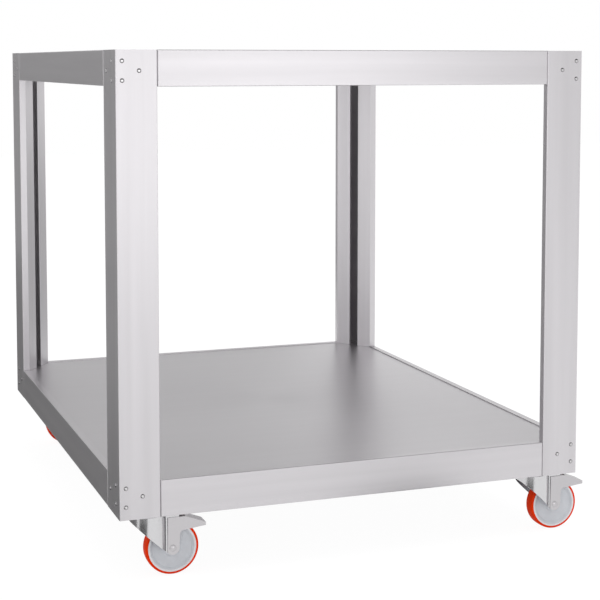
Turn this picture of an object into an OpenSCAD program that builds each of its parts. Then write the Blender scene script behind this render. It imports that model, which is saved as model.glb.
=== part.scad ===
// Stand on castors for a pizza oven: four folded corner legs, two rail frames, one shelf.
// Millimetres. X runs left to right, Y from the front to the back, Z up from the floor.

/* [Frame] */
// Width over the legs, left to right
frame_w = 942; // [700:1:1300]
// Depth over the legs, front to back
frame_d = 1150; // [800:1:1500]
// Height of the legs
frame_h = 852; // [600:1:1000]
// Thickness of the sheet of legs and rails
sheet = 2; // [1.5:0.1:2.6]
// Radius outside each fold of the sheet
fold_out_r = 1.2; // [0.6:0.1:2]
// Radius inside each fold of the sheet
fold_in_r = 0.4; // [0.2:0.1:0.8]

/* [Legs] */
// Leg's flange along the front or rear face
leg_front = 76; // [60:1:100]
// Leg's flange along the side face
leg_side = 99; // [80:1:130]
// Lip folded in at the end of each leg flange
leg_lip = 15; // [10:0.5:22]
// Open slot between the leg's two slanted returns
leg_slot = 25; // [15:0.5:40]
// Hem folded in along each edge of the slot
leg_hem = 7; // [3:0.5:10]

/* [Rails] */
// Height of the top rails
top_rail_h = 66; // [60:0.5:90]
// Height of the bottom rails
bottom_rail_h = 68.5; // [64:0.5:90]
// Width of the top rails' upper flange, where the oven rests
rest_flange = 30; // [20:0.5:45]
// Width of the other rail flanges
rail_flange = 15; // [11:0.5:20]
// Open seam between a leg's edge and the rail beside it
seam = 0.6; // [0.2:0.1:1.5]
// Length of the slope by which a rail's end tab steps in
tab_slope = 1.2; // [1:0.1:2]
// Distance from a corner at which a rail's end tab starts
tab_inset = 6; // [5.5:0.1:8]
// Half of the gap between two flanges that meet at a mitre
mitre_gap = 1; // [0.4:0.1:2]

/* [Shelf] */
// Thickness of the shelf's sheet
shelf_sheet = 1.5; // [1:0.1:2]
// Distance of the shelf's edge from the rails' outer face
shelf_inset = 5; // [4.7:0.1:7]
// Corner stretch where the shelf has no turned-down edge
shelf_corner = 135; // [131:1:180]

/* [Corner plates] */
// Side of the square plate under each corner
gusset_w = 120; // [116:1:124]
// Thickness of the corner plate
gusset_t = 4; // [3:0.5:6]
// Bevel at the corner plate's free corner
gusset_bevel = 8; // [2:1:12]

/* [Frame screws] */
// Radius of the screw's thread
screw_r = 2.5; // [2:0.1:2.6]
// Radius of the screw's round head
screw_head_r = 4.2; // [3.5:0.1:5]
// Height of the screw's round head
screw_head_h = 2.2; // [1.5:0.1:3]
// Half width over the corners of the screw's hexagon socket
screw_socket_r = 1.7; // [1.2:0.1:2.2]
// Depth of the screw's socket
screw_socket_depth = 1.2; // [0.6:0.1:1.4]
// Height of the screw's nut
screw_nut_h = 4; // [3:0.1:4.5]
// Half width over the corners of the screw's nut
screw_nut_r = 4.6; // [4:0.1:4.8]
// Distance from the corner of the two outer screws on the front and rear faces
screw_front_outer = 12; // [11:0.5:16]
// Distance from the corner of the inner screw on the front and rear faces
screw_front_inner = 43; // [35:0.5:60]
// Distance from the corner of the two outer screws on the side faces
screw_side_outer = 29; // [22:0.5:40]
// Distance from the corner of the inner screw on the side faces
screw_side_inner = 72; // [60:0.5:85]
// Depth of the highest screws below the frame's top
screw_top_high = 20; // [14:0.5:24]
// Depth of the inner top screw below the frame's top
screw_top_mid = 37.5; // [30:0.5:45]
// Depth of the lowest top screws below the frame's top
screw_top_low = 55; // [50:0.5:57]
// Height of the highest bottom screws above the frame's lower edge
screw_bottom_high = 59; // [54:0.5:60]
// Height of the inner bottom screw above the frame's lower edge
screw_bottom_mid = 42; // [34:0.5:48]
// Height of the lowest bottom screws above the frame's lower edge
screw_bottom_low = 24; // [16:0.5:28]

/* [Castor placing] */
// Swivel axis to the frame's side face
castor_side = 66; // [66:0.5:72]
// Swivel axis to the frame's front or rear face
castor_front = 63; // [60:0.5:76]
// Height of a castor from the floor to its plate's top; the wheel fills what the head leaves
castor_h = 130.5; // [126:0.5:134]

/* [Castor plate] */
// Length of the castor's top plate, left to right
plate_w = 100; // [96:1:100]
// Depth of the castor's top plate, front to back
plate_d = 85; // [78:1:88]
// Thickness of the castor's top plate
plate_t = 3; // [2:0.5:4]
// Pitch of the plate's bolts, left to right
bolt_pitch_w = 80; // [76:1:84]
// Pitch of the plate's bolts, front to back
bolt_pitch_d = 60; // [56:1:66]
// Radius of the castor bolts
bolt_r = 4; // [3:0.5:4]
// Half width over the corners of the castor bolts' heads and nuts
bolt_hex_r = 7.5; // [6.5:0.5:8]
// Height of the castor bolts' heads
bolt_head_h = 5; // [4:0.5:6]
// Height of the castor bolts' nuts
bolt_nut_h = 6.5; // [5:0.5:8]

/* [Swivel head] */
// Height of the swivel head, from the fork's crown up to the plate's top
head_h = 12; // [11:0.5:15]
// Radius of the kingpin's shank
kingpin_r = 6; // [5:0.5:7]
// Radius of the kingpin's countersunk head
kingpin_head_r = 9; // [8:0.5:10]
// Height of the kingpin's countersunk head
kingpin_head_h = 2.5; // [1.5:0.1:2.8]
// Half width over the corners of the kingpin's nut
kingpin_nut_r = 10; // [9:0.5:11]
// Height of the kingpin's nut
kingpin_nut_h = 8; // [6:0.5:9]
// Radius of a bearing ball
ball_r = 3; // [2.5:0.1:3.5]
// Radius of the circle of balls
ball_pitch_r = 20; // [18:0.5:22]
// Number of balls in a race
ball_count = 16; // [8:1:17]
// Outer radius of the ball cups
cup_r = 28; // [27:0.5:31]
// Inner radius of the ball cups
cup_bore_r = 12; // [10:0.5:14]
// Open seam between the upper and the lower cup
cup_seam = 0.6; // [0.4:0.1:1.2]

/* [Fork] */
// Radius of the fork's half-round nose
fork_nose_r = 34; // [30:0.5:36]
// Gap between the fork's plates at the wheel
fork_gap = 25.2; // [24.8:0.1:28]
// Thickness of the fork's sheet
fork_sheet = 2; // [1.5:0.1:3]
// Gap from the wheel up to the crown's top
crown_gap = 15.5; // [13:0.5:18]
// Distance the axle trails behind the swivel axis
trail = 45.5; // [38:0.5:50]
// Radius of the fork's end round the axle
fork_tip_r = 12.8; // [11:0.1:15]
// Depth of the fork's skirt at its nose, below the crown's top
fork_skirt = 10.4; // [6:0.1:14]
// Distance before the axle at which the fork's plates turn parallel
fork_crease = 13; // [12.5:0.5:17]

/* [Wheel] */
// Width of the wheel
wheel_w = 24; // [20:0.5:24]
// Thickness of the tyre
tyre_t = 5; // [3.5:0.5:8]
// Rounding of the tyre's shoulders
tyre_round = 2; // [1:0.5:3]
// Width of the wheel's outer ring inside the tyre
ring_w = 5; // [4:0.5:8]
// Depth of the dish between the ring and the hub
dish_depth = 3.5; // [2:0.5:5]
// Width of the slope from the ring down into the dish
dish_slope = 4; // [3:0.5:6]
// Radius of the wheel's hub
hub_r = 17; // [14:0.5:20]
// Clearance between the hub's end and the fork
hub_gap = 0.1; // [0.1:0.05:0.3]
// Outer radius of the axle sleeve
sleeve_r = 8; // [7:0.5:9]
// Radius of the axle bolt
axle_r = 4; // [3:0.5:5]
// Radius of the axle bolt's round head
axle_head_r = 6.5; // [6:0.5:8]
// Height of the axle bolt's head
axle_head_h = 2.5; // [2:0.5:4]
// Half width over the corners of the axle bolt's nut
axle_nut_r = 7.5; // [7:0.5:8]
// Height of the axle bolt's nut
axle_nut_h = 5; // [4:0.5:7]

/* [Brake] */
// Thickness of the brake lever's sheet
lever_sheet = 1.8; // [1.2:0.1:2]
// Distance of the lever's front edge before the axle
lever_front = 10.2; // [9:0.1:11.5]
// Depth of the lever's top edge below the crown's top
lever_step = 8.5; // [5:0.1:10]
// Distance behind the axle at which the lever's top starts to slope
lever_bend = 25; // [20:0.5:32]
// Reach of the pedal's tip behind the axle
lever_reach = 64.3; // [58:0.1:72]
// Drop of the pedal from the lever's top edge to its tip
lever_drop = 14.9; // [12:0.1:20]
// Height of the pedal's end wall at its tip
tip_h = 6; // [4:0.1:8]
// Depth of the pedal's underside below the lever's top edge, at the side plate
pedal_depth = 25.5; // [23:0.1:30]
// Radius of the lever's end round the axle
lever_tip_r = 12.6; // [12:0.1:14]
// Distance of the lever's rear edge behind the axle, below the pedal
lever_neck = 14.2; // [13:0.1:18]
// Radius of the inner corner between the lever's neck and the pedal
lever_corner_r = 8; // [4:0.5:12]
// Rounding of the lever's front edges
lever_edge_r = 1.2; // [0.4:0.1:1.6]
// Width of the brake leaf over the tyre
leaf_w = 18; // [12:0.5:20]
// Thickness of the brake leaf
leaf_t = 1.5; // [1:0.1:2]
// Gap between the tyre and the brake leaf
leaf_gap = 2; // [1.5:0.1:3]
// Lower end of the brake leaf, in degrees above level
leaf_start = 45; // [40:1:60]
// Length of the leaf's foot under the crown
leaf_foot = 18; // [12:0.5:20]

/* [Clearances] */
// Gap between pieces that seat on each other without touching
fit = 0.3; // [0.2:0.05:0.4]
// Radial clearance of what turns in a bore
run = 0.05; // [0.02:0.01:0.1]
// Radial clearance of a bolt in its hole
bolt_play = 0.25; // [0.1:0.05:0.4]
// How far a cut runs past the surface it opens
over = 1; // [0.5:0.1:2]

/* [Hidden] */
$fn = 48;
// Facets of a fold in the sheet
fold_steps = 5;

ENDS = ["front", "rear"];
SIDES = ["left", "right"];
CORNERS = [for (e = ENDS) for (s = SIDES) str(e, "_", s)];
BRAKED = ["front_left", "front_right"];
EDGES = ["front", "rear", "left", "right"];

function named(word, list) = [for (name = list) str(word, "_", name)];

// The frame's lower edge: the rails' lower flanges lie beside the castor plates
frame_z = castor_h - sheet;
frame_top = frame_z + frame_h;
// The shelf's top lies against the underside of the bottom rails' upper flanges
shelf_top = bottom_rail_h - sheet;

// The origin is on the floor, in the middle of everything's outline seen from above
right_reach = max(frame_w + screw_head_h, frame_w - castor_side + trail + lever_reach);
origin_x = (right_reach - screw_head_h) / 2;
origin_y = frame_d / 2;

// Heights measured up from the floor
crown_top = castor_h - head_h;
wheel_r = (crown_top - crown_gap) / 2;
axle_z = wheel_r;
plate_bottom = castor_h - plate_t;
crown_bottom = crown_top - fork_sheet;
cup_mid = (crown_top + plate_bottom) / 2;
core_r = wheel_r - tyre_t;
rim_inner_r = core_r - ring_w;
fork_half = fork_gap / 2 + fork_sheet;
lever_inner = fork_half + fit;
lever_half = lever_inner + lever_sheet;

// Heights measured up from the axle
lever_top = crown_top - axle_z - lever_step;
tip_top = lever_top - lever_drop;
tip_bottom = tip_top - tip_h;
pedal_bottom = lever_top - pedal_depth;

// Left normal of the direction from a to b
function left_of(a, b) = let (d = (b - a) / norm(b - a)) [-d.y, d.x];

// Point b of a bent sheet's outer face, moved through the sheet to its inner face
function inner_corner(a, b, c, t) =
    let (m = left_of(a, b), n = left_of(b, c)) b + t * (m + n) / (1 + m * n);

// Path moved to its left by the sheet's thickness
function inner_face(path, t) =
    let (last = len(path) - 1)
    [for (i = [0:last])
        i == 0 ? path[0] + t * left_of(path[0], path[1])
        : i == last ? path[last] + t * left_of(path[last - 1], path[last])
        : inner_corner(path[i - 1], path[i], path[i + 1], t)];

function turned(v, angle) =
    [v.x * cos(angle) - v.y * sin(angle), v.x * sin(angle) + v.y * cos(angle)];

// Fold at b between the sides from a and to c: an arc of one radius to the left, of another to the right
function fold(a, b, c, left_r, right_r) =
    let (
        u = (b - a) / norm(b - a),
        v = (c - b) / norm(c - b),
        turn = atan2(u.x * v.y - u.y * v.x, u * v),
        r = turn > 0 ? left_r : right_r,
        centre_way = sign(turn) * [-u.y, u.x],
        centre = b - u * r * tan(abs(turn) / 2) + centre_way * r
    )
    [for (i = [0:fold_steps]) centre - turned(centre_way, turn * i / fold_steps) * r];

// Path with each inner point folded
function folded(path, left_r, right_r) =
    let (last = len(path) - 1)
    [for (i = [0:last]) each
        i == 0 || i == last
        ? [path[i]]
        : fold(path[i - 1], path[i], path[i + 1], left_r, right_r)];

// Section of a bent sheet whose outer face follows the path, with the sheet on its left
module bent_sheet(path, t) {
    inner = folded(inner_face(path, t), fold_in_r, fold_out_r);
    polygon(concat(
        folded(path, fold_out_r, fold_in_r),
        [for (i = [len(inner) - 1:-1:0]) inner[i]]
    ));
}

module in_place() {
    translate([-origin_x, -origin_y, 0]) children();
}

// A frame corner: X and Y run inwards from the two outer faces, Z up from the frame's lower edge
module at_corner(corner) {
    right = corner == "front_right" || corner == "rear_right";
    rear = corner == "rear_left" || corner == "rear_right";
    in_place()
        translate([right ? frame_w : 0, rear ? frame_d : 0, frame_z])
            mirror([right ? 1 : 0, 0, 0])
                mirror([0, rear ? 1 : 0, 0])
                    children();
}

// A castor's swivel axis on the floor; X runs to where the wheel trails
module at_castor(corner) {
    right = corner == "front_right" || corner == "rear_right";
    rear = corner == "rear_left" || corner == "rear_right";
    in_place()
        translate([
            right ? frame_w - castor_side : castor_side,
            rear ? frame_d - castor_front : castor_front,
            0
        ])
            children();
}

// A frame edge: X runs along the rail, Y inwards from its outer face
module at_edge(edge) {
    in_place()
        translate([edge == "right" ? frame_w : 0, edge == "rear" ? frame_d : 0, frame_z])
            mirror([edge == "right" ? 1 : 0, 0, 0])
                mirror([0, edge == "rear" ? 1 : 0, 0])
                    if (edge == "front" || edge == "rear")
                        children();
                    else
                        mirror([1, -1, 0]) children();
}

// Screw places on a face of a corner: distance in from the corner, height on the frame
front_screws = [
    [screw_front_outer, frame_h - screw_top_high],
    [screw_front_inner, frame_h - screw_top_mid],
    [screw_front_outer, frame_h - screw_top_low],
    [screw_front_outer, screw_bottom_high],
    [screw_front_inner, screw_bottom_mid],
    [screw_front_outer, screw_bottom_low]
];
side_screws = [
    [screw_side_outer, frame_h - screw_top_high],
    [screw_side_inner, frame_h - screw_top_mid],
    [screw_side_outer, frame_h - screw_top_low],
    [screw_side_outer, screw_bottom_high],
    [screw_side_inner, screw_bottom_mid],
    [screw_side_outer, screw_bottom_low]
];

// Stands what is drawn along +Z on each screw's place of a corner, pointing inwards
module on_screws() {
    for (place = front_screws)
        translate([place.x, 0, place.y]) rotate([-90, 0, 0]) children();
    for (place = side_screws)
        translate([0, place.x, place.y]) rotate([0, 90, 0]) children();
}

// Leg: one sheet, folded from one hem of the slot round the corner to the other
slant_from = [leg_lip, leg_side];
slant_to = [leg_front, leg_lip];
slant = slant_to - slant_from;
slant_way = slant / norm(slant);
slant_in = [slant_way.y, -slant_way.x];
return_w = (norm(slant) - leg_slot) / 2;
leg_path = [
    slant_from + slant_way * return_w + slant_in * leg_hem,
    slant_from + slant_way * return_w,
    slant_from,
    [0, leg_side],
    [0, 0],
    [leg_front, 0],
    slant_to,
    slant_to - slant_way * return_w,
    slant_to - slant_way * return_w + slant_in * leg_hem
];

module leg(corner) {
    color("gainsboro")
        at_corner(corner)
            difference() {
                linear_extrude(frame_h) bent_sheet(leg_path, sheet);
                // Below, the slanted returns end on the shelf and the lips on the rail's flange
                translate([sheet, sheet, -over])
                    cube([leg_front, leg_side, over + shelf_top + fit]);
                translate([sheet, sheet, -over])
                    cube([leg_front, rail_flange + fit - sheet, over + bottom_rail_h + fit]);
                translate([sheet, sheet, -over])
                    cube([rail_flange + fit - sheet, leg_side, over + bottom_rail_h + fit]);
                // Above, both end under the top rails
                translate([sheet, sheet, frame_h - top_rail_h - fit])
                    cube([leg_front, leg_side, top_rail_h + fit + over]);
                on_screws()
                    translate([0, 0, -over])
                        cylinder(r = screw_r + bolt_play, h = sheet + 2 * over, $fn = 24);
            }
}

// Flange with mitred ends, of a rail of the given length
module flange(length, width) {
    linear_extrude(sheet)
        polygon([
            [tab_inset, sheet],
            [length - tab_inset, sheet],
            [length - tab_inset, tab_inset - mitre_gap],
            [length - width - mitre_gap, width],
            [width + mitre_gap, width],
            [tab_inset, tab_inset - mitre_gap]
        ]);
}

// What the fold between a rail's web and flange leaves out, along the rail's lower outer edge
module fold_cut(length) {
    rotate([90, 0, 90])
        linear_extrude(length)
            difference() {
                translate([-over, -over]) square(fold_out_r + over);
                translate([fold_out_r, fold_out_r]) circle(fold_out_r);
            }
}

// Rail: a channel flush with the legs, with end tabs stepped in behind the legs' flanges
module channel(length, leg_w, height, upper, lower, places) {
    step = leg_w + seam;
    difference() {
        union() {
            linear_extrude(height)
                bent_sheet([
                    [tab_inset, sheet],
                    [step, sheet],
                    [step + tab_slope, 0],
                    [length - step - tab_slope, 0],
                    [length - step, sheet],
                    [length - tab_inset, sheet]
                ], sheet);
            translate([0, 0, height - sheet]) flange(length, upper);
            flange(length, lower);
        }
        translate([step + tab_slope, 0, 0]) fold_cut(length - 2 * (step + tab_slope));
        translate([step + tab_slope, 0, height])
            mirror([0, 0, 1]) fold_cut(length - 2 * (step + tab_slope));
        for (place = places)
            for (along = [place.x, length - place.x])
                translate([along, -over, place.y])
                    rotate([-90, 0, 0])
                        cylinder(r = screw_r + bolt_play, h = 2 * sheet + 2 * over, $fn = 24);
    }
}

module rail(edge, height, upper, lower, base, first) {
    across = edge == "front" || edge == "rear";
    screws = across ? front_screws : side_screws;
    color("gainsboro")
        at_edge(edge)
            translate([0, 0, base])
                channel(
                    across ? frame_w : frame_d,
                    across ? leg_front : leg_side,
                    height, upper, lower,
                    [for (i = [first:first + 2]) screws[i] - [0, base]]
                );
}

module rail_top(edge) {
    rail(edge, top_rail_h, rest_flange, rail_flange, frame_h - top_rail_h, 0);
}

module rail_bottom(edge) {
    rail(edge, bottom_rail_h, rail_flange, rail_flange, 0, 3);
}

// Shelf: a pan whose turned-down edges stand on the bottom rails' lower flanges
module shelf() {
    inner_w = frame_w - 2 * shelf_inset;
    inner_d = frame_d - 2 * shelf_inset;
    color("silver")
        in_place()
            translate([0, 0, frame_z]) {
                translate([shelf_inset, shelf_inset, shelf_top - shelf_sheet])
                    cube([inner_w, inner_d, shelf_sheet]);
                for (x = [shelf_inset, frame_w - shelf_inset - shelf_sheet])
                    translate([x, shelf_corner, sheet])
                        cube([shelf_sheet, frame_d - 2 * shelf_corner, shelf_top - sheet]);
                for (y = [shelf_inset, frame_d - shelf_inset - shelf_sheet])
                    translate([shelf_corner, y, sheet])
                        cube([frame_w - 2 * shelf_corner, shelf_sheet, shelf_top - sheet]);
            }
}

// Stands what is drawn on each bolt's place round a castor's axis
module on_bolts() {
    for (x = [-1, 1])
        for (y = [-1, 1])
            translate([x * bolt_pitch_w / 2, y * bolt_pitch_d / 2, 0]) children();
}

module gusset(corner) {
    far = shelf_inset + gusset_w;
    color("darkgray")
        at_corner(corner)
            translate([0, 0, sheet])
                difference() {
                    linear_extrude(gusset_t)
                        polygon([
                            [shelf_inset, shelf_inset],
                            [far, shelf_inset],
                            [far, far - gusset_bevel],
                            [far - gusset_bevel, far],
                            [shelf_inset, far]
                        ]);
                    translate([castor_side, castor_front, -over])
                        on_bolts() cylinder(r = bolt_r + bolt_play, h = gusset_t + 2 * over);
                }
}

// Round-head screw with a hexagon socket; its head's seat is at Z = 0 and it points up
module screw() {
    grip = 2 * sheet + screw_nut_h + over;
    dome_r = (screw_head_r * screw_head_r + screw_head_h * screw_head_h) / (2 * screw_head_h);
    cylinder(r = screw_r, h = grip, $fn = 24);
    difference() {
        rotate_extrude($fn = 32)
            intersection() {
                translate([0, dome_r - screw_head_h]) circle(dome_r, $fn = 96);
                translate([0, -screw_head_h]) square([screw_head_r, screw_head_h]);
            }
        translate([0, 0, -screw_head_h - over])
            cylinder(r = screw_socket_r, h = screw_socket_depth + over, $fn = 6);
    }
}

module hex_nut(hex_r, bore_r, height) {
    difference() {
        cylinder(r = hex_r, h = height, $fn = 6);
        translate([0, 0, -over]) cylinder(r = bore_r, h = height + 2 * over);
    }
}

module frame_screws() {
    color("silver")
        for (corner = CORNERS) at_corner(corner) on_screws() screw();
}

module frame_nuts() {
    color("silver")
        for (corner = CORNERS)
            at_corner(corner)
                on_screws()
                    translate([0, 0, 2 * sheet]) hex_nut(screw_nut_r, screw_r + run, screw_nut_h);
}

module castor_bolts() {
    shank = plate_t + gusset_t + bolt_nut_h + over;
    color("silver")
        for (corner = CORNERS)
            at_castor(corner)
                on_bolts()
                    translate([0, 0, plate_bottom]) {
                        cylinder(r = bolt_r, h = shank, $fn = 24);
                        translate([0, 0, -bolt_head_h])
                            cylinder(r = bolt_hex_r, h = bolt_head_h, $fn = 6);
                    }
}

module castor_nuts() {
    color("silver")
        for (corner = CORNERS)
            at_castor(corner)
                on_bolts()
                    translate([0, 0, castor_h + gusset_t])
                        hex_nut(bolt_hex_r, bolt_r + run, bolt_nut_h);
}

// Section of a ball cup between two heights, with the groove that the balls run in
module cup_section(low, high) {
    difference() {
        translate([cup_bore_r, low]) square([cup_r - cup_bore_r, high - low]);
        translate([ball_pitch_r, cup_mid]) circle(ball_r + run, $fn = 48);
    }
}

module castor_plate(corner) {
    color("silver")
        at_castor(corner)
            difference() {
                union() {
                    translate([-plate_w / 2, -plate_d / 2, plate_bottom])
                        cube([plate_w, plate_d, plate_t]);
                    rotate_extrude() cup_section(cup_mid + cup_seam / 2, plate_bottom);
                }
                translate([0, 0, plate_bottom - over])
                    cylinder(r = kingpin_r + run, h = plate_t + 2 * over);
                translate([0, 0, castor_h - kingpin_head_h])
                    cylinder(r1 = kingpin_r + run, r2 = kingpin_head_r + run, h = kingpin_head_h);
                translate([0, 0, plate_bottom - over])
                    on_bolts()
                        cylinder(r = bolt_r + bolt_play, h = plate_t + 2 * over, $fn = 24);
            }
}

module race_balls(corner) {
    color("silver")
        at_castor(corner)
            for (i = [0:ball_count - 1])
                rotate(i * 360 / ball_count)
                    translate([ball_pitch_r, 0, cup_mid]) sphere(ball_r, $fn = 24);
}

// Kingpin: flush in the plate, held under the crown by its nut
module kingpin(corner) {
    nut_top = crown_bottom - fit;
    nut_bottom = nut_top - kingpin_nut_h;
    color("silver")
        at_castor(corner) {
            translate([0, 0, nut_bottom - over])
                cylinder(r = kingpin_r, h = castor_h - kingpin_head_h - nut_bottom + over);
            translate([0, 0, castor_h - kingpin_head_h])
                cylinder(r1 = kingpin_r, r2 = kingpin_head_r, h = kingpin_head_h);
            translate([0, 0, nut_bottom])
                hex_nut(kingpin_nut_r, kingpin_r + run, kingpin_nut_h);
        }
}

// Outline of the fork from above: a round nose that narrows to the crease, then runs straight
crease_x = trail - fork_crease;
fork_end = trail + fork_tip_r;
// The lower edge runs from the skirt at the nose to touch the round end at the axle
skirt_to_axle = [trail + fork_nose_r, crown_top - fork_skirt - axle_z];
fork_slope = atan2(skirt_to_axle.y, skirt_to_axle.x) + asin(fork_tip_r / norm(skirt_to_axle));

// Point where the line from a point touches the circle round the swivel axis
function touch(point, r) =
    let (angle = atan2(point.y, point.x) + acos(r / norm(point))) r * [cos(angle), sin(angle)];

module fork_outline(r, crease, end) {
    t = touch(crease, r);
    circle(r, $fn = 96);
    polygon([
        t,
        crease,
        [end, crease.y],
        [end, -crease.y],
        [crease.x, -crease.y],
        [t.x, -t.y],
        [0, 0]
    ]);
}

// Outline of the fork from the side: level top, slanted lower edge, round end at the axle
module fork_side() {
    lower_x = trail - fork_tip_r * sin(fork_slope);
    lower_z = axle_z - fork_tip_r * cos(fork_slope);
    nose_x = -fork_nose_r - over;
    polygon([
        [nose_x, crown_top],
        [nose_x, lower_z + (lower_x - nose_x) * tan(fork_slope)],
        [lower_x, lower_z],
        [trail, axle_z],
        [fork_end, axle_z],
        [fork_end, crown_top]
    ]);
    translate([trail, axle_z]) circle(fork_tip_r);
}

// Draws a side outline, X to the rear and Y up, as a solid of the given width about the middle
module across(width) {
    translate([0, width / 2, 0]) rotate([90, 0, 0]) linear_extrude(width) children();
}

module fork(corner) {
    outer = [crease_x, fork_half];
    inner = inner_corner([fork_end, fork_half], outer, touch(outer, fork_nose_r), fork_sheet);
    color("silver")
        at_castor(corner)
            difference() {
                union() {
                    intersection() {
                        linear_extrude(crown_top)
                            difference() {
                                fork_outline(fork_nose_r, outer, fork_end);
                                fork_outline(fork_nose_r - fork_sheet, inner, fork_end + over);
                            }
                        across(2 * fork_nose_r + over) fork_side();
                    }
                    translate([0, 0, crown_bottom])
                        linear_extrude(fork_sheet) fork_outline(fork_nose_r, outer, fork_end);
                    rotate_extrude() cup_section(crown_top, cup_mid - cup_seam / 2);
                }
                translate([0, 0, crown_bottom - over])
                    cylinder(r = kingpin_r + run, h = fork_sheet + 2 * over);
                translate([trail, fork_half + over, axle_z])
                    rotate([90, 0, 0]) cylinder(r = axle_r + run, h = 2 * (fork_half + over));
            }
}

// Puts what is drawn round +Z onto the wheel's axle, with +Z towards the rear
module on_axle() {
    translate([trail, 0, axle_z]) rotate([-90, 0, 0]) children();
}

// One face of the wheel core's section, from the bore to the tyre's seat
core_face = let (face = wheel_w / 2, hub = fork_gap / 2 - hub_gap) [
    [sleeve_r + run, hub],
    [hub_r - (hub - face + dish_depth) / 2, hub],
    [hub_r, face - dish_depth],
    [rim_inner_r - dish_slope, face - dish_depth],
    [rim_inner_r, face],
    [core_r, face]
];

module wheel_core(corner) {
    color("white")
        at_castor(corner)
            on_axle()
                rotate_extrude($fn = 96)
                    polygon(concat(
                        core_face,
                        [for (i = [len(core_face) - 1:-1:0]) [core_face[i].x, -core_face[i].y]]
                    ));
}

module tyre(corner) {
    color("orangered")
        at_castor(corner)
            on_axle()
                rotate_extrude($fn = 96) {
                    translate([core_r, -wheel_w / 2])
                        square([tyre_t - tyre_round, wheel_w]);
                    translate([core_r, tyre_round - wheel_w / 2])
                        square([tyre_t, wheel_w - 2 * tyre_round]);
                    for (way = [-1, 1])
                        translate([wheel_r - tyre_round, way * (wheel_w / 2 - tyre_round)])
                            circle(tyre_round, $fn = 32);
                }
}

module axle_sleeve(corner) {
    color("silver")
        at_castor(corner)
            on_axle()
                translate([0, 0, -fork_gap / 2])
                    difference() {
                        cylinder(r = sleeve_r, h = fork_gap);
                        translate([0, 0, -over])
                            cylinder(r = axle_r + run, h = fork_gap + 2 * over);
                    }
}

// Axle bolt: its head at the front, its nut at the back, outside the fork or the brake lever
module axle_bolt(corner) {
    braked = len([for (name = BRAKED) if (name == corner) name]) > 0;
    seat = braked ? lever_half + fit : fork_half;
    dome_r = (axle_head_r * axle_head_r + axle_head_h * axle_head_h) / (2 * axle_head_h);
    color("silver")
        at_castor(corner)
            on_axle() {
                translate([0, 0, -seat])
                    cylinder(r = axle_r, h = 2 * seat + axle_nut_h + over);
                translate([0, 0, -seat])
                    rotate_extrude()
                        intersection() {
                            translate([0, dome_r - axle_head_h]) circle(dome_r, $fn = 96);
                            translate([0, -axle_head_h]) square([axle_head_r, axle_head_h]);
                        }
                translate([0, 0, seat]) hex_nut(axle_nut_r, axle_r + run, axle_nut_h);
            }
}

// Outline of the brake lever from the side, about the axle
module lever_side() {
    polygon([
        [-lever_front, 0],
        [-lever_front, lever_top],
        [lever_bend, lever_top],
        [lever_reach, tip_top],
        [lever_reach, tip_bottom],
        [lever_neck + lever_corner_r, pedal_bottom],
        [lever_neck, pedal_bottom],
        [lever_tip_r, 0]
    ]);
    intersection() {
        circle(lever_tip_r);
        translate([-lever_front, -lever_tip_r])
            square([lever_front + lever_tip_r, 2 * lever_tip_r]);
    }
    difference() {
        translate([lever_tip_r - over, pedal_bottom - lever_corner_r])
            square([
                lever_neck + lever_corner_r - lever_tip_r + over,
                lever_corner_r + over
            ]);
        translate([lever_neck + lever_corner_r, pedal_bottom - lever_corner_r])
            circle(lever_corner_r);
    }
}

// What the rounding leaves out along a front edge of the lever
module lever_edge_cut() {
    linear_extrude(lever_tip_r + lever_top + over)
        difference() {
            translate([-over, -over]) square(lever_edge_r + over);
            translate([lever_edge_r, lever_edge_r]) circle(lever_edge_r);
        }
}

// Brake lever: two side plates outside the fork, joined by the sloping pedal and its end wall
module brake_lever(corner) {
    slope = (lever_top - tip_top) / (lever_reach - lever_bend);
    drop = lever_sheet * norm([1, slope]);
    color("gainsboro")
        at_castor(corner)
            translate([trail, 0, axle_z])
                difference() {
                    union() {
                        difference() {
                            across(2 * lever_half) lever_side();
                            across(2 * lever_inner)
                                translate([-lever_front - over, -lever_tip_r - over])
                                    square([
                                        lever_front + over + lever_reach - lever_sheet,
                                        lever_tip_r + lever_top + 2 * over
                                    ]);
                        }
                        across(2 * lever_half)
                            polygon([
                                [lever_bend, lever_top],
                                [lever_reach, tip_top],
                                [lever_reach, tip_top - drop],
                                [lever_bend, lever_top - drop]
                            ]);
                    }
                    translate([0, lever_half + over, 0])
                        rotate([90, 0, 0])
                            cylinder(r = axle_r + run, h = 2 * (lever_half + over));
                    for (way = [0, 1])
                        mirror([0, way, 0])
                            translate([-lever_front, -lever_half, -lever_tip_r]) lever_edge_cut();
                }
}

// Brake leaf: a strip over the tyre, with a foot under the crown
module brake_leaf(corner) {
    inner_r = wheel_r + leaf_gap;
    reach = 2 * wheel_r;
    head = crown_bottom - axle_z;
    color("dimgray")
        at_castor(corner)
            translate([trail, 0, axle_z])
                across(leaf_w) {
                    intersection() {
                        difference() {
                            circle(inner_r + leaf_t, $fn = 96);
                            circle(inner_r, $fn = 96);
                        }
                        polygon([
                            [0, 0],
                            [reach * cos(leaf_start), reach * sin(leaf_start)],
                            [reach, reach],
                            [0, reach]
                        ]);
                    }
                    translate([-leaf_t, inner_r]) square([leaf_t + run, head - inner_r]);
                    translate([-leaf_foot, head - leaf_t]) square([leaf_foot, leaf_t]);
                }
}

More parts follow.
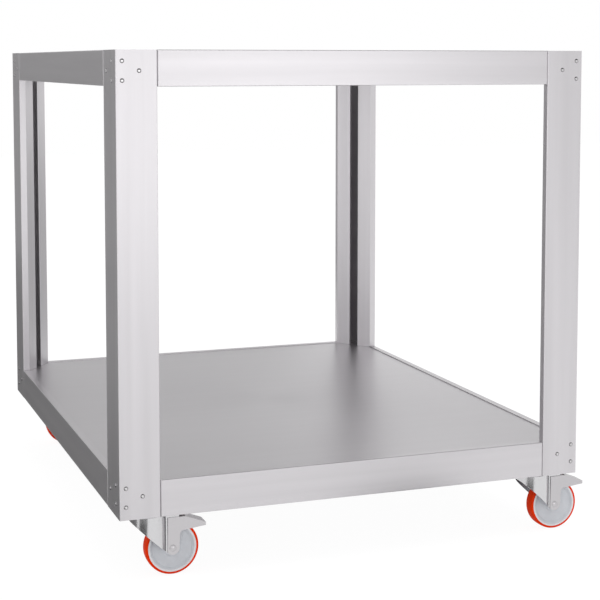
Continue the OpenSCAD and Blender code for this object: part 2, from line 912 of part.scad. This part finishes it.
for (corner = CORNERS) {
    leg(corner);
    gusset(corner);
    castor_plate(corner);
    race_balls(corner);
    kingpin(corner);
    fork(corner);
    wheel_core(corner);
    tyre(corner);
    axle_sleeve(corner);
    axle_bolt(corner);
}
for (corner = BRAKED) {
    brake_lever(corner);
    brake_leaf(corner);
}
for (edge = EDGES) {
    rail_top(edge);
    rail_bottom(edge);
}
shelf();
frame_screws();
frame_nuts();
castor_bolts();
castor_nuts();
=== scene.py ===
"""Pizza oven stand: folded stainless steel legs, rails and shelf, on four swivel castors."""
import math

import bmesh
import bpy
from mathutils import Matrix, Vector


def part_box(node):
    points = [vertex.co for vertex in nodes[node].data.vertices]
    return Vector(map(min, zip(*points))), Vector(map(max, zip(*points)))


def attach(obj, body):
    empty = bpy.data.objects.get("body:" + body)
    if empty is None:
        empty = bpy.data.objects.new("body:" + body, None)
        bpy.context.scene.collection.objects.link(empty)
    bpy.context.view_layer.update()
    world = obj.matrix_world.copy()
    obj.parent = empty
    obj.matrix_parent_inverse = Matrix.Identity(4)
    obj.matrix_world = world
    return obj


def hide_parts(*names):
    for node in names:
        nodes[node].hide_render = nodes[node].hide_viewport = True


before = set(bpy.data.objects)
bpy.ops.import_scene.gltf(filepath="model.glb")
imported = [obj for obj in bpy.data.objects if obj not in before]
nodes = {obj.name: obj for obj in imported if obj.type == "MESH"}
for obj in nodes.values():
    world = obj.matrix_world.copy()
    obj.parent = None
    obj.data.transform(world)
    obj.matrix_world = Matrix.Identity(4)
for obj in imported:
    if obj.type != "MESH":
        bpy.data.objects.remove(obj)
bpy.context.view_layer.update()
scene = bpy.context.scene

# Camera: stands in front on the left, nearly as high as the stand, turned a little to the right.
# Its place is given from the near left leg's outer corner at the frame's lower edge. It looks
# down by about half of what the framing needs, and a lens shift gives the rest.
near_leg_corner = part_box("leg_front_left")[0]
camera_from_corner = Vector((-0.5836, -2.5718, 0.8289))
camera_turn = math.radians(19.90)
camera_dip = math.radians(4.55)
sensor_mm = 36
lens_mm = 88.55
lens_shift = -0.20
farthest_seen = 60
camera_data = bpy.data.cameras.new("camera")
camera_data.sensor_width = sensor_mm
camera_data.lens = lens_mm
camera_data.shift_y = lens_shift
camera_data.clip_end = farthest_seen
camera = bpy.data.objects.new("camera", camera_data)
camera.location = near_leg_corner + camera_from_corner
camera.rotation_euler = (math.pi / 2 - camera_dip, 0, -camera_turn)
scene.collection.objects.link(camera)
scene.camera = camera
scene.view_settings.view_transform = "Standard"


# Studio floor: one wide sheet of pale paper that shows white to the eye and in the metal.
# A small share of it stays plain paper, so that it keeps the stand's soft shadow.
def new_material(name):
    material = bpy.data.materials.new(name)
    material.use_nodes = True
    tree = material.node_tree
    tree.nodes.clear()
    output = tree.nodes.new("ShaderNodeOutputMaterial")
    return material, tree, output


def seen_or_mirrored(tree):
    """1 for rays from the eye, from a gloss or through glass, 0 for those that only light."""
    path = tree.nodes.new("ShaderNodeLightPath")
    total = path.outputs["Is Camera Ray"]
    for ray in ("Is Glossy Ray", "Is Transmission Ray"):
        add = tree.nodes.new("ShaderNodeMath")
        add.operation = "ADD"
        add.use_clamp = True
        tree.links.new(total, add.inputs[0])
        tree.links.new(path.outputs[ray], add.inputs[1])
        total = add.outputs[0]
    return total


floor_half = 12.0
paper_tone = 0.86
glow_strength = 1.08
glow_part = 0.86
floor_mesh = bpy.data.meshes.new("studio_floor")
floor_mesh.from_pydata(
    [(-floor_half, -floor_half, 0), (floor_half, -floor_half, 0),
     (floor_half, floor_half, 0), (-floor_half, floor_half, 0)],
    [], [(0, 1, 2, 3)])
studio_floor = bpy.data.objects.new("studio_floor", floor_mesh)
scene.collection.objects.link(studio_floor)
floor_paper, tree, output = new_material("floor_paper")
paper = tree.nodes.new("ShaderNodeBsdfDiffuse")
paper.inputs["Color"].default_value = (paper_tone, paper_tone, paper_tone, 1)
glow = tree.nodes.new("ShaderNodeEmission")
glow.inputs["Color"].default_value = (1, 1, 1, 1)
glow.inputs["Strength"].default_value = glow_strength
glow_share = tree.nodes.new("ShaderNodeMath")
glow_share.operation = "MULTIPLY"
glow_share.inputs[1].default_value = glow_part
mix = tree.nodes.new("ShaderNodeMixShader")
tree.links.new(seen_or_mirrored(tree), glow_share.inputs[0])
tree.links.new(glow_share.outputs[0], mix.inputs[0])
tree.links.new(paper.outputs[0], mix.inputs[1])
tree.links.new(glow.outputs[0], mix.inputs[2])
tree.links.new(mix.outputs[0], output.inputs["Surface"])
floor_mesh.materials.append(floor_paper)


# Studio room: white walls and ceiling all round, as the eye and the gloss see them.
# The light that they give to matt faces is a little softer than that white.
fill_strength = 0.76
white_strength = 1.0
room = bpy.data.worlds.new("studio_room")
room.use_nodes = True
tree = room.node_tree
tree.nodes.clear()
output = tree.nodes.new("ShaderNodeOutputWorld")
fill = tree.nodes.new("ShaderNodeBackground")
fill.inputs["Color"].default_value = (1, 1, 1, 1)
fill.inputs["Strength"].default_value = fill_strength
white = tree.nodes.new("ShaderNodeBackground")
white.inputs["Color"].default_value = (1, 1, 1, 1)
white.inputs["Strength"].default_value = white_strength
mix = tree.nodes.new("ShaderNodeMixShader")
tree.links.new(seen_or_mirrored(tree), mix.inputs[0])
tree.links.new(fill.outputs[0], mix.inputs[1])
tree.links.new(white.outputs[0], mix.inputs[2])
tree.links.new(mix.outputs[0], output.inputs["Surface"])
scene.world = room


# Softboxes: a broad one in front on the right that lights the front faces, and a larger one
# overhead for the shelf and the top frame.
def softbox(name, place, target, size, watts):
    lamp = bpy.data.lights.new(name, "AREA")
    lamp.shape = "RECTANGLE"
    lamp.size, lamp.size_y = size
    lamp.energy = watts
    holder = bpy.data.objects.new(name, lamp)
    holder.location = place
    holder.rotation_euler = (Vector(target) - Vector(place)).to_track_quat("-Z", "Y").to_euler()
    scene.collection.objects.link(holder)


softbox("front_softbox", (1.00, -4.30, 0.75), (0, -0.5, 0.65), (1.5, 1.5), 7.5)
softbox("top_softbox", (0.4, -1.2, 4.2), (0, 0, 0), (2.6, 2.6), 45)


# Cards: grey, black and bright ones stood round the stand out of the picture, so that its faces
# mirror soft greys instead of plain white. Only the gloss sees them: they cast no shadow and
# give matt faces no light.
def card(name, level, corners):
    grey, tree, output = new_material(name)
    cloth = tree.nodes.new("ShaderNodeEmission")
    cloth.inputs["Color"].default_value = (1, 1, 1, 1)
    cloth.inputs["Strength"].default_value = level
    tree.links.new(cloth.outputs[0], output.inputs["Surface"])
    mesh = bpy.data.meshes.new(name)
    mesh.from_pydata(corners, [], [(0, 1, 2, 3)])
    mesh.materials.append(grey)
    board = bpy.data.objects.new(name, mesh)
    board.visible_camera = False
    board.visible_diffuse = False
    board.visible_shadow = False
    scene.collection.objects.link(board)


card("card_shelf", 0.60,
     [(-1.8, 4.4, 0.75), (1.7, 4.4, 0.75), (1.7, 4.4, 2.4), (-1.8, 4.4, 2.4)])
card("card_shelf_right", 0.97,
     [(1.7, 4.4, 0.75), (3.6, 4.0, 0.75), (3.6, 4.0, 2.4), (1.7, 4.4, 2.4)])
card("card_ceiling", 0.12, [(-3, -3, 3.4), (3, -3, 3.4), (3, 3.4, 3.4), (-3, 3.4, 3.4)])
card("card_left_upright", 0.29,
     [(-3.0, 1.6, 0), (-0.9, 4.3, 0), (-0.9, 4.3, 1.25), (-3.0, 1.6, 1.25)])
card("card_left_floor", 0.18,
     [(-0.95, -0.6, 0.003), (-0.52, -0.6, 0.003), (-0.52, 4.2, 0.003), (-2.4, 4.2, 0.003)])
card("card_right_upright", 0.58,
     [(3.2, 0.8, 0), (2.0, 2.9, 0), (2.0, 2.9, 0.55), (3.2, 0.8, 0.55)])
card("card_right_floor", 0.60,
     [(0.6, 0.75, 0.003), (3.2, 0.8, 0.003), (2.0, 2.9, 0.003), (0.6, 1.6, 0.003)])
card("card_front_right", 0.80,
     [(1.9, -4.6, 0.0), (4.2, -3.0, 0.0), (4.2, -3.0, 2.4), (1.9, -4.6, 2.4)])
card("card_front_left", 1.25,
     [(-2.8, -3.4, 0.0), (-0.3, -4.8, 0.0), (-0.3, -4.8, 2.4), (-2.8, -3.4, 2.4)])
card("card_left_side", 1.25,
     [(-3.4, 1.3, 0.0), (-3.2, -1.6, 0.0), (-3.2, -1.6, 2.2), (-3.4, 1.3, 2.2)])
card("card_front_floor", 1.05,
     [(-0.6, -4.3, 0.003), (2.4, -4.3, 0.003), (1.5, -1.2, 0.003), (-0.6, -1.7, 0.003)])
card("card_castor_left", 0.0,
     [(-0.80, -0.80, 0.005), (-0.50, -0.95, 0.005), (-0.48, -0.74, 0.005), (-0.68, -0.62, 0.005)])
card("card_castor_right", 0.0,
     [(0.02, -0.80, 0.005), (0.30, -0.95, 0.005), (0.31, -0.74, 0.005), (0.12, -0.60, 0.005)])


# Legs and rails: 2 mm stainless sheet, folded on a press brake and screwed at the corners.
# The sheet keeps its mill grain and soft rolling bands, which run along each piece.
def stainless(name, grain, tone, gloss, streak=1.0):
    """Brushed steel whose fine grain runs along one axis: 0 for X, 1 for Y, 2 for Z."""
    material, tree, output = new_material(name)
    metal = tree.nodes.new("ShaderNodeBsdfPrincipled")
    metal.inputs["Metallic"].default_value = 1
    metal.inputs["Anisotropic"].default_value = 0.25
    tree.links.new(metal.outputs[0], output.inputs["Surface"])
    place = tree.nodes.new("ShaderNodeTexCoord")
    along = tree.nodes.new("ShaderNodeMapping")
    along.inputs["Scale"].default_value = [25 if axis == grain else 2600 for axis in range(3)]
    tree.links.new(place.outputs["Object"], along.inputs["Vector"])
    hairs = tree.nodes.new("ShaderNodeTexNoise")
    hairs.inputs["Scale"].default_value = 1
    hairs.inputs["Detail"].default_value = 3
    tree.links.new(along.outputs[0], hairs.inputs["Vector"])
    rolled = tree.nodes.new("ShaderNodeMapping")
    rolled.inputs["Scale"].default_value = [1.2 if axis == grain else 42 for axis in range(3)]
    tree.links.new(place.outputs["Object"], rolled.inputs["Vector"])
    bands = tree.nodes.new("ShaderNodeTexNoise")
    bands.inputs["Scale"].default_value = 1
    bands.inputs["Detail"].default_value = 4
    tree.links.new(rolled.outputs[0], bands.inputs["Vector"])
    shade = tree.nodes.new("ShaderNodeValToRGB")
    shade.color_ramp.elements[0].position = 0.3
    shade.color_ramp.elements[0].color = [c * (1 - 0.045 * streak) for c in tone] + [1]
    shade.color_ramp.elements[1].position = 0.7
    shade.color_ramp.elements[1].color = [c * (1 + 0.035 * streak) for c in tone] + [1]
    tree.links.new(bands.outputs["Fac"], shade.inputs["Fac"])
    tree.links.new(shade.outputs["Color"], metal.inputs["Base Color"])
    sheen = tree.nodes.new("ShaderNodeMapRange")
    sheen.inputs["To Min"].default_value = gloss - 0.05
    sheen.inputs["To Max"].default_value = gloss + 0.05
    tree.links.new(hairs.outputs["Fac"], sheen.inputs["Value"])
    tree.links.new(sheen.outputs["Result"], metal.inputs["Roughness"])
    relief = tree.nodes.new("ShaderNodeBump")
    relief.inputs["Strength"].default_value = 0.06 * streak
    relief.inputs["Distance"].default_value = 0.0001
    tree.links.new(hairs.outputs["Fac"], relief.inputs["Height"])
    tree.links.new(relief.outputs["Normal"], metal.inputs["Normal"])
    return material


def finish_nodes(names, material):
    """Give the solids of these names one finish."""
    for name in names:
        mesh = nodes[name].data
        mesh.materials.clear()
        mesh.materials.append(material)


CORNERS = ("front_left", "front_right", "rear_left", "rear_right")
steel_tone = (0.614, 0.597, 0.616)
upright_sheet = stainless("upright_sheet", 2, steel_tone, 0.34)
crosswise_sheet = stainless("crosswise_sheet", 0, steel_tone, 0.34)
lengthwise_sheet = stainless("lengthwise_sheet", 1, steel_tone, 0.34)
finish_nodes([f"leg_{corner}" for corner in CORNERS], upright_sheet)
for level in ("top", "bottom"):
    finish_nodes([f"rail_{level}_front", f"rail_{level}_rear"], crosswise_sheet)
    finish_nodes([f"rail_{level}_left", f"rail_{level}_right"], lengthwise_sheet)


# Shelf: one folded pan of stainless sheet that lies under the bottom rails' flanges.
# Its face is smoother than the legs and mirrors the rear legs as soft streaks.
shelf_sheet = stainless("shelf_sheet", 0, (0.612, 0.596, 0.614), 0.36, 0.25)
finish_nodes(["shelf"], shelf_sheet)


# Corner plates: thick plain steel plates under the four corners, where the castors bolt on.
corner_plate_steel = stainless("corner_plate_steel", 0, (0.55, 0.55, 0.56), 0.42)
finish_nodes([f"gusset_{corner}" for corner in CORNERS], corner_plate_steel)


# Frame screws and nuts: turned stainless with round heads, a little brighter than the sheet.
# The steep flank of each head is given a dark colour while the crown keeps the steel's colour:
# painted shade round each head's rim.
painted_rim_shade_tone = (0.28, 0.275, 0.28, 1)
flank_ends, crown_starts = 0.80, 0.94
turned_steel = stainless("turned_steel", 2, (0.72, 0.71, 0.72), 0.18)
tree = turned_steel.node_tree
metal = next(node for node in tree.nodes if node.type == "BSDF_PRINCIPLED")
crown_colour = metal.inputs["Base Color"].links[0].from_socket
facing = tree.nodes.new("ShaderNodeTexCoord")
flat_size = tree.nodes.new("ShaderNodeVectorMath")
flat_size.operation = "ABSOLUTE"
tree.links.new(facing.outputs["Normal"], flat_size.inputs[0])
sides = tree.nodes.new("ShaderNodeSeparateXYZ")
tree.links.new(flat_size.outputs[0], sides.inputs[0])
squareness = sides.outputs[0]
for side in (1, 2):
    larger = tree.nodes.new("ShaderNodeMath")
    larger.operation = "MAXIMUM"
    tree.links.new(squareness, larger.inputs[0])
    tree.links.new(sides.outputs[side], larger.inputs[1])
    squareness = larger.outputs[0]
painted_rim_shade_mask = tree.nodes.new("ShaderNodeMapRange")
painted_rim_shade_mask.inputs["From Min"].default_value = flank_ends
painted_rim_shade_mask.inputs["From Max"].default_value = crown_starts
tree.links.new(squareness, painted_rim_shade_mask.inputs["Value"])
# Painted shade: where the normal leans away from every axis, on the steep flank of a round head,
# the colour goes to the dark tone.
skin = tree.nodes.new("ShaderNodeMix")
skin.data_type = "RGBA"
skin.inputs[6].default_value = painted_rim_shade_tone
tree.links.new(painted_rim_shade_mask.outputs["Result"], skin.inputs[0])
tree.links.new(crown_colour, skin.inputs[7])
tree.links.new(skin.outputs[2], metal.inputs["Base Color"])
finish_nodes(["frame_screws", "frame_nuts"], turned_steel)


# Castor steel: top plates and forks are pressed from plate, joined by a kingpin with its nut,
# and given a smooth bright zinc coat.
zinc_coat = stainless("zinc_coat", 2, (0.63, 0.626, 0.638), 0.21, 0.3)
finish_nodes(["castor_bolts", "castor_nuts"], zinc_coat)
for corner in CORNERS:
    finish_nodes(
        [f"{part}_{corner}" for part in
         ("castor_plate", "kingpin", "fork", "axle_sleeve", "race_balls")],
        zinc_coat)


# Brake pedals, leaves and axle bolts: the same zinc, a little rougher, with its colour darkened
# as painted shade.
# Each pedal plate hangs on its axle bolt outside the fork.
pedal_zinc_painted_shade = stainless("pedal_zinc_painted_shade", 0, (0.545, 0.53, 0.545), 0.30, 0.3)
finish_nodes([f"axle_bolt_{corner}" for corner in CORNERS], pedal_zinc_painted_shade)
for corner in ("front_left", "front_right"):
    finish_nodes([f"brake_lever_{corner}", f"brake_leaf_{corner}"], pedal_zinc_painted_shade)


# Wheel cores: pale polyamide moulded in one piece, with a hub, a shallow dish and a ring under
# the tyre. Soft fillets run round the ring and the hub, and the ring gets a paler copy of the
# core's colour as a painted highlight.
def moulded(name, colour, gloss, grain_size, relief_depth, shine=0.45):
    material, tree, output = new_material(name)
    plastic = tree.nodes.new("ShaderNodeBsdfPrincipled")
    plastic.inputs["Specular IOR Level"].default_value = shine
    tree.links.new(plastic.outputs[0], output.inputs["Surface"])
    place = tree.nodes.new("ShaderNodeTexCoord")
    patches = tree.nodes.new("ShaderNodeTexNoise")
    patches.inputs["Scale"].default_value = 60
    patches.inputs["Detail"].default_value = 3
    tree.links.new(place.outputs["Object"], patches.inputs["Vector"])
    tint = tree.nodes.new("ShaderNodeValToRGB")
    tint.color_ramp.elements[0].position = 0.3
    tint.color_ramp.elements[0].color = [c * 0.95 for c in colour] + [1]
    tint.color_ramp.elements[1].position = 0.7
    tint.color_ramp.elements[1].color = [min(1, c * 1.03) for c in colour] + [1]
    tree.links.new(patches.outputs["Fac"], tint.inputs["Fac"])
    tree.links.new(tint.outputs["Color"], plastic.inputs["Base Color"])
    skin = tree.nodes.new("ShaderNodeTexNoise")
    skin.inputs["Scale"].default_value = grain_size
    skin.inputs["Detail"].default_value = 2
    tree.links.new(place.outputs["Object"], skin.inputs["Vector"])
    matt = tree.nodes.new("ShaderNodeMapRange")
    matt.inputs["To Min"].default_value = gloss - 0.06
    matt.inputs["To Max"].default_value = gloss + 0.06
    tree.links.new(skin.outputs["Fac"], matt.inputs["Value"])
    tree.links.new(matt.outputs["Result"], plastic.inputs["Roughness"])
    relief = tree.nodes.new("ShaderNodeBump")
    relief.inputs["Strength"].default_value = 0.15
    relief.inputs["Distance"].default_value = relief_depth
    tree.links.new(skin.outputs["Fac"], relief.inputs["Height"])
    tree.links.new(relief.outputs["Normal"], plastic.inputs["Normal"])
    return material


def arc(centre, radius, start, end, steps):
    """Points of an arc in a wheel's section, from one angle in degrees to another."""
    return [(centre[0] + radius * math.cos(math.radians(start + (end - start) * i / steps)),
             centre[1] + radius * math.sin(math.radians(start + (end - start) * i / steps)))
            for i in range(steps + 1)]


def turned_piece(name, section, axle, material, steps=128):
    """Ring turned round the axle from a closed section of (radius, place along the axle)."""
    mesh = bpy.data.meshes.new(name)
    form = bmesh.new()
    rings = []
    for step in range(steps):
        angle = 2 * math.pi * step / steps
        rings.append([form.verts.new((axle.x + radius * math.cos(angle), axle.y + along,
                                      axle.z + radius * math.sin(angle)))
                      for radius, along in section])
    for step in range(steps):
        ring, next_ring = rings[step], rings[(step + 1) % steps]
        for i in range(len(section)):
            j = (i + 1) % len(section)
            form.faces.new((ring[i], ring[j], next_ring[j], next_ring[i]))
    bmesh.ops.recalc_face_normals(form, faces=form.faces)
    form.to_mesh(mesh)
    form.free()
    mesh.shade_smooth()
    mesh.set_sharp_from_angle(angle=math.radians(32))
    mesh.materials.append(material)
    piece = bpy.data.objects.new(name, mesh)
    scene.collection.objects.link(piece)
    return piece


def both_faces(face):
    """Section of a ring from its front face, mirrored to the back."""
    return face + [(radius, -along) for radius, along in reversed(face)]


core_plastic = moulded("core_plastic", (0.66, 0.68, 0.72), 0.42, 900, 0.0001)
core_rim_painted_highlight = moulded("core_rim_painted_highlight", (0.84, 0.85, 0.87), 0.35, 900, 0.0001)
hub_radius = 0.0165
ring_inside = 0.0415
dish_depth = 0.0035
core_fillet = 0.0016
for corner in CORNERS:
    low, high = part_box(f"wheel_core_{corner}")
    tyre_low, tyre_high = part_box(f"tyre_{corner}")
    axle = (low + high) / 2
    core_radius = (high.x - low.x) / 2
    face_y = (tyre_high.y - tyre_low.y) / 2
    hub_y = (high.y - low.y) / 2
    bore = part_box(f"axle_sleeve_{corner}")
    bore_radius = (bore[1].x - bore[0].x) / 2 + 0.00005
    dish_y = face_y - dish_depth
    face = [(bore_radius, hub_y)]
    face += arc((hub_radius - core_fillet, hub_y - core_fillet), core_fillet, 90, 0, 5)
    face += arc((hub_radius + core_fillet, dish_y + core_fillet), core_fillet, 180, 270, 5)
    face += arc((ring_inside - 2.6 * core_fillet, dish_y + core_fillet), core_fillet, 270, 320, 4)
    face += arc((ring_inside + core_fillet, face_y - core_fillet), core_fillet, 140, 90, 4)
    face += [(core_radius, face_y)]
    core = turned_piece(f"moulded_core_{corner}", both_faces(face), axle, core_plastic)
    core.data.materials.append(core_rim_painted_highlight)
    # Painted highlight: the facets out on the ring under the tyre take the paler second material.
    for facet in core.data.polygons:
        reach = math.hypot(facet.center.x - axle.x, facet.center.z - axle.z)
        if ring_inside + core_fillet < reach:
            facet.material_index = 1
    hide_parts(f"wheel_core_{corner}")
    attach(core, f"wheel_{corner}")


# Tyres: orange-red polyurethane cast round each core, with rounded shoulders and a tread
# that is a little crowned. The casting leaves a fine line round the middle.
tyre_orange = moulded("tyre_orange", (0.90, 0.042, 0.001), 0.55, 1400, 0.00012, 0.06)
shoulder = 0.0022
crown = 0.0004
for corner in CORNERS:
    low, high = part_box(f"tyre_{corner}")
    core_low, core_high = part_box(f"wheel_core_{corner}")
    axle = (low + high) / 2
    tread_radius = (high.x - low.x) / 2
    core_radius = (core_high.x - core_low.x) / 2
    face_y = (high.y - low.y) / 2
    face = [(core_radius, face_y - 0.0004), (core_radius + 0.0005, face_y)]
    face += arc((tread_radius - crown - shoulder, face_y - shoulder), shoulder, 90, 8, 7)
    face += [(tread_radius - crown * 0.25, face_y * 0.45), (tread_radius, 0.0009)]
    tyre = turned_piece(f"cast_tyre_{corner}", both_faces(face), axle, tyre_orange, 160)
    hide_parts(f"tyre_{corner}")
    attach(tyre, f"wheel_{corner}")
